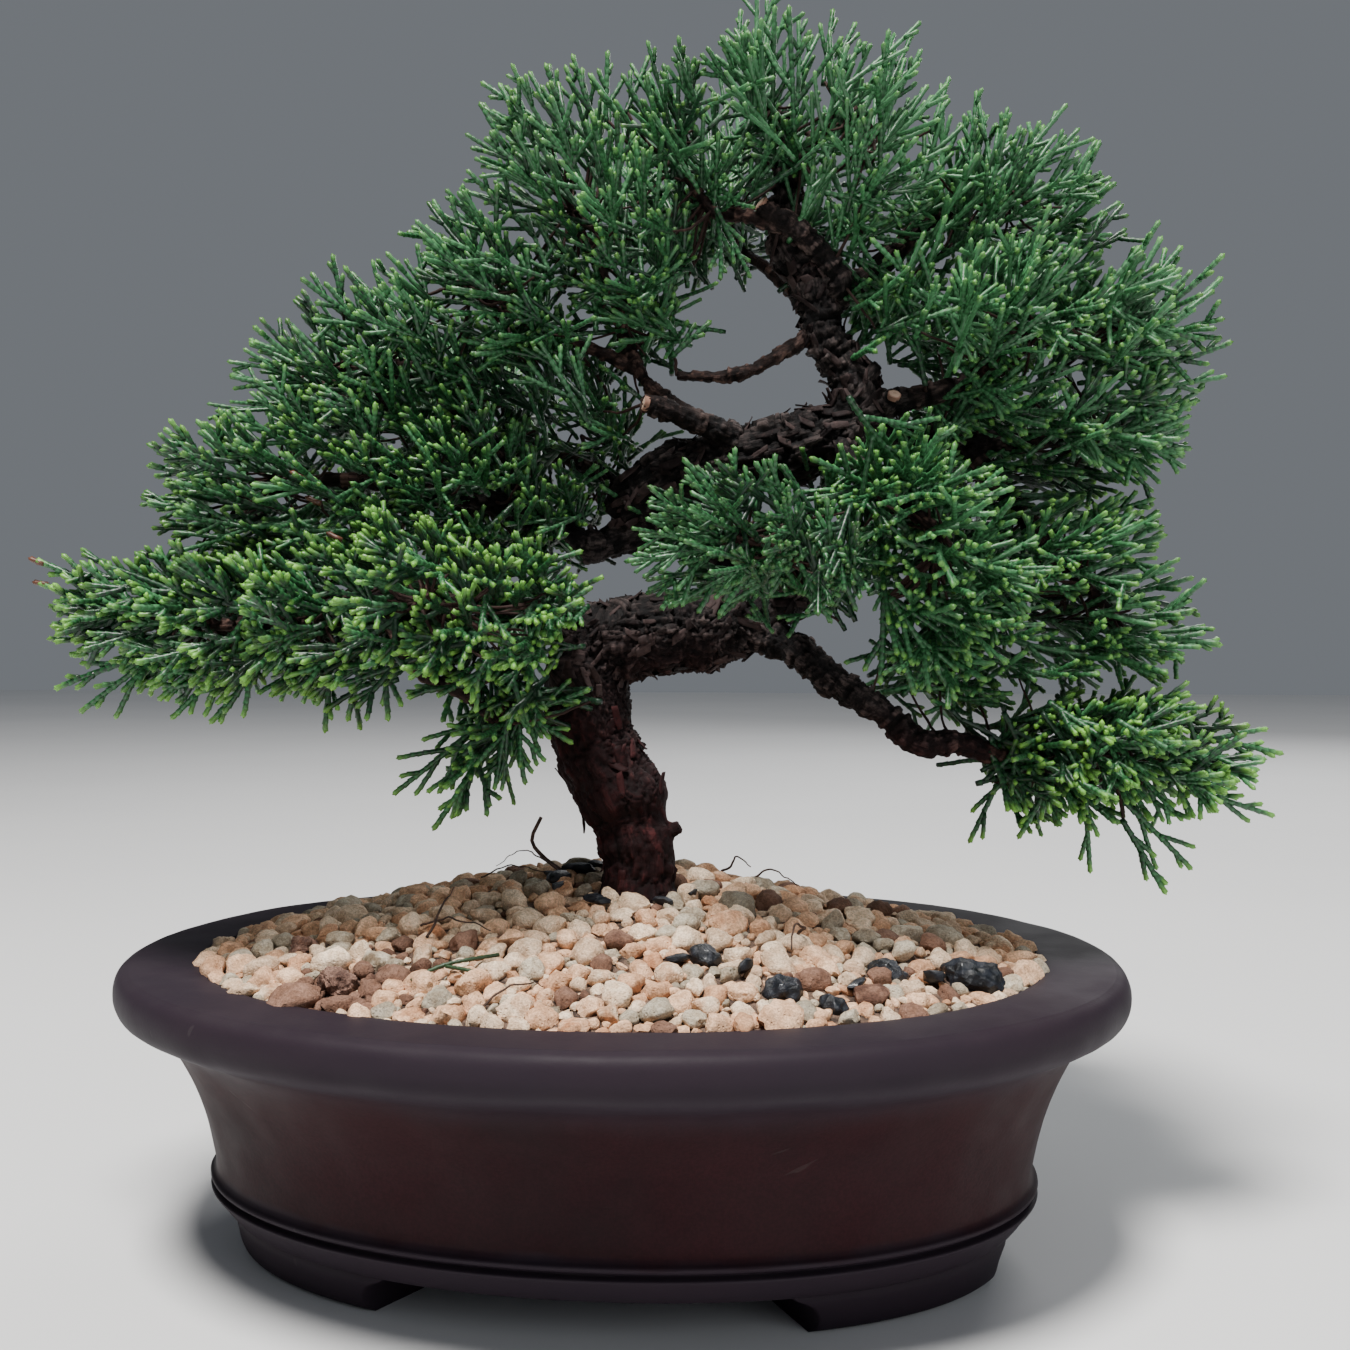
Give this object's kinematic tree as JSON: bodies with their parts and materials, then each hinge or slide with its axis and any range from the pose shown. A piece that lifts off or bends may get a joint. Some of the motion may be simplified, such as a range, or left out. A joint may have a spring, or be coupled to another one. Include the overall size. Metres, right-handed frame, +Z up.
{
  "type": "bonsai tree in a pot",
  "caption": "Small juniper bonsai: curving flaky trunk, pads of scale-leaved shoots, heaped pumice dressing, in an unglazed oval pot with a wide rim, a belt and low cloud feet",
  "frame": {"origin": "centre of the whole object's bounding box, on the floor under the pot's feet", "axes": "+X along the pot's long side, +Y towards the back of the tree's front view, +Z up"},
  "size_m": [0.2412, 0.163, 0.2511],
  "materials": {
    "unglazed_stoneware": "unglazed, fine matt with a faint sheen, lightly scuffed",
    "screen_plastic": "black moulded mesh",
    "clip_wire": "soft drawn wire",
    "potting_mix": "damp, crumbly",
    "pumice_grains": "porous, matt",
    "charcoal": "broken faces, slight sheen",
    "lava_rock": "porous, matt",
    "dry_root": "dry, matt",
    "bark": "flaking bark",
    "foliage": "waxy scale leaves"
  },
  "bodies": {
    "root": {"charcoal_1": "charcoal", "charcoal_2": "charcoal", "charcoal_3": "charcoal", "charcoal_4": "charcoal", "charcoal_5": "charcoal", "drain_screen_left": "screen_plastic", "drain_screen_right": "screen_plastic", "dressing": "pumice_grains", "dry_root": "dry_root", "foliage_apex": "foliage", "foliage_apex_left": "foliage", "foliage_apex_right": "foliage", "foliage_back_left": "foliage", "foliage_back_right": "foliage", "foliage_back_top": "foliage", "foliage_centre_left": "foliage", "foliage_front": "foliage", "foliage_hanging": "foliage", "foliage_inner_left": "foliage", "foliage_left_front": "foliage", "foliage_left_low": "foliage", "foliage_left_mid": "foliage", "foliage_left_upper": "foliage", "foliage_right_front": "foliage", "foliage_right_low": "foliage", "foliage_right_lowest": "foliage", "foliage_right_mid": "foliage", "foliage_right_top": "foliage", "foliage_right_upper": "foliage", "foliage_slope": "foliage", "foliage_top_left": "foliage", "lava_1": "lava_rock", "lava_2": "lava_rock", "pot": "unglazed_stoneware", "screen_clip_left": "clip_wire", "screen_clip_right": "clip_wire", "soil": "potting_mix", "wood": "bark"}
  },
  "joints": []
}
